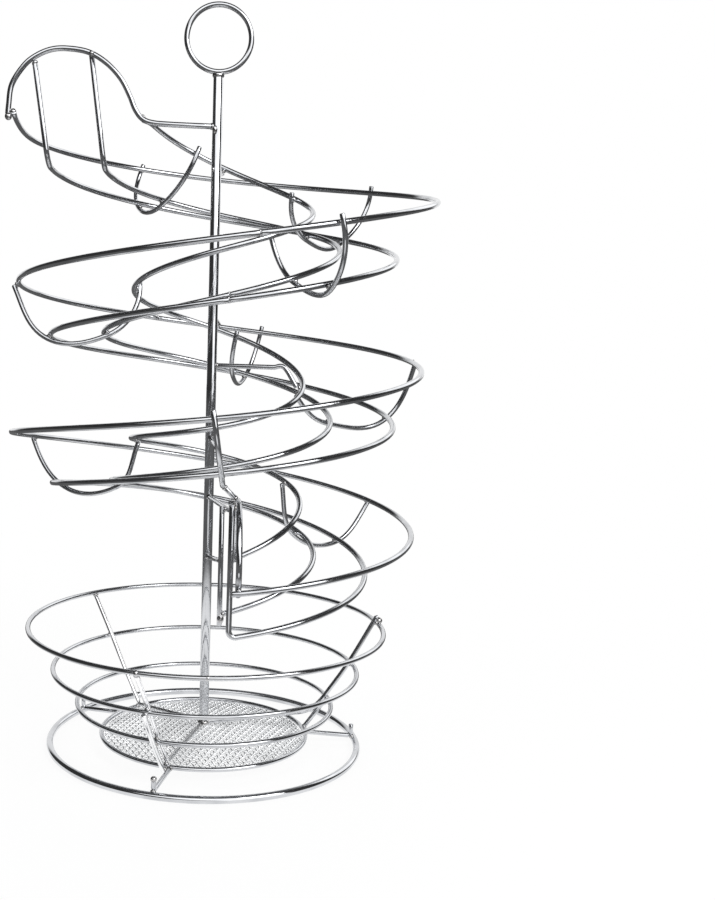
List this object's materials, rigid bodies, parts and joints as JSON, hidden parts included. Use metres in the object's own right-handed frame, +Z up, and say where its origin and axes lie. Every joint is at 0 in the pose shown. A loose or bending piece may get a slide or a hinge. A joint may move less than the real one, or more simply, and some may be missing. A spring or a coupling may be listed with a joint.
{
  "type": "wire egg dispenser",
  "caption": "Free-standing wire egg dispenser: a spiral track of welded rails round a post rolls eggs down over a round open basket.",
  "frame": {"origin": "on the post's axis, at the table plane, which is the underside of the foot ring", "axes": "+Z up along the post; -Y is the front, where the track ends; +X is to the right seen from the front, away from the raised entrance"},
  "size_m": [0.2163, 0.2148, 0.3799],
  "materials": {
    "chromed_wire": "bright chrome plate on drawn steel wire",
    "bright_chrome": "polished chrome plate on thicker wire and rod",
    "woven_wire": "chrome-plated woven wire cloth"
  },
  "bodies": {
    "root": {"basket_lower_ring": "chromed_wire", "basket_middle_ring": "chromed_wire", "basket_rib_front": "chromed_wire", "basket_rib_left": "chromed_wire", "basket_rib_right": "chromed_wire", "basket_strut_front": "chromed_wire", "basket_strut_right": "chromed_wire", "basket_top_ring": "chromed_wire", "bent_post_stay": "chromed_wire", "centre_post": "bright_chrome", "entrance_arch": "chromed_wire", "exit_arch": "chromed_wire", "exit_cross_wire": "chromed_wire", "exit_hanger": "chromed_wire", "exit_post_stay": "chromed_wire", "exit_stop_bar": "chromed_wire", "floor_mesh": "woven_wire", "floor_rim": "chromed_wire", "foot_bracket_front": "chromed_wire", "foot_bracket_left": "chromed_wire", "foot_bracket_right": "chromed_wire", "foot_ring": "bright_chrome", "handle_ring": "bright_chrome", "inner_bottom_rail_lower": "chromed_wire", "inner_bottom_rail_upper": "chromed_wire", "inner_top_rail_lower": "chromed_wire", "inner_top_rail_upper": "chromed_wire", "lower_post_stay": "chromed_wire", "middle_post_stay": "chromed_wire", "outer_bottom_rail_lower": "chromed_wire", "outer_bottom_rail_middle": "chromed_wire", "outer_bottom_rail_upper": "chromed_wire", "outer_top_rail_lower": "chromed_wire", "outer_top_rail_middle": "chromed_wire", "outer_top_rail_upper": "chromed_wire", "track_hoop_1": "chromed_wire", "track_hoop_2": "chromed_wire", "track_hoop_3": "chromed_wire", "track_hoop_4": "chromed_wire", "track_hoop_5": "chromed_wire", "track_hoop_6": "chromed_wire", "track_hoop_7": "chromed_wire", "track_hoop_8": "chromed_wire", "track_hoop_9": "chromed_wire", "upper_post_stay": "chromed_wire"}
  },
  "joints": []
}
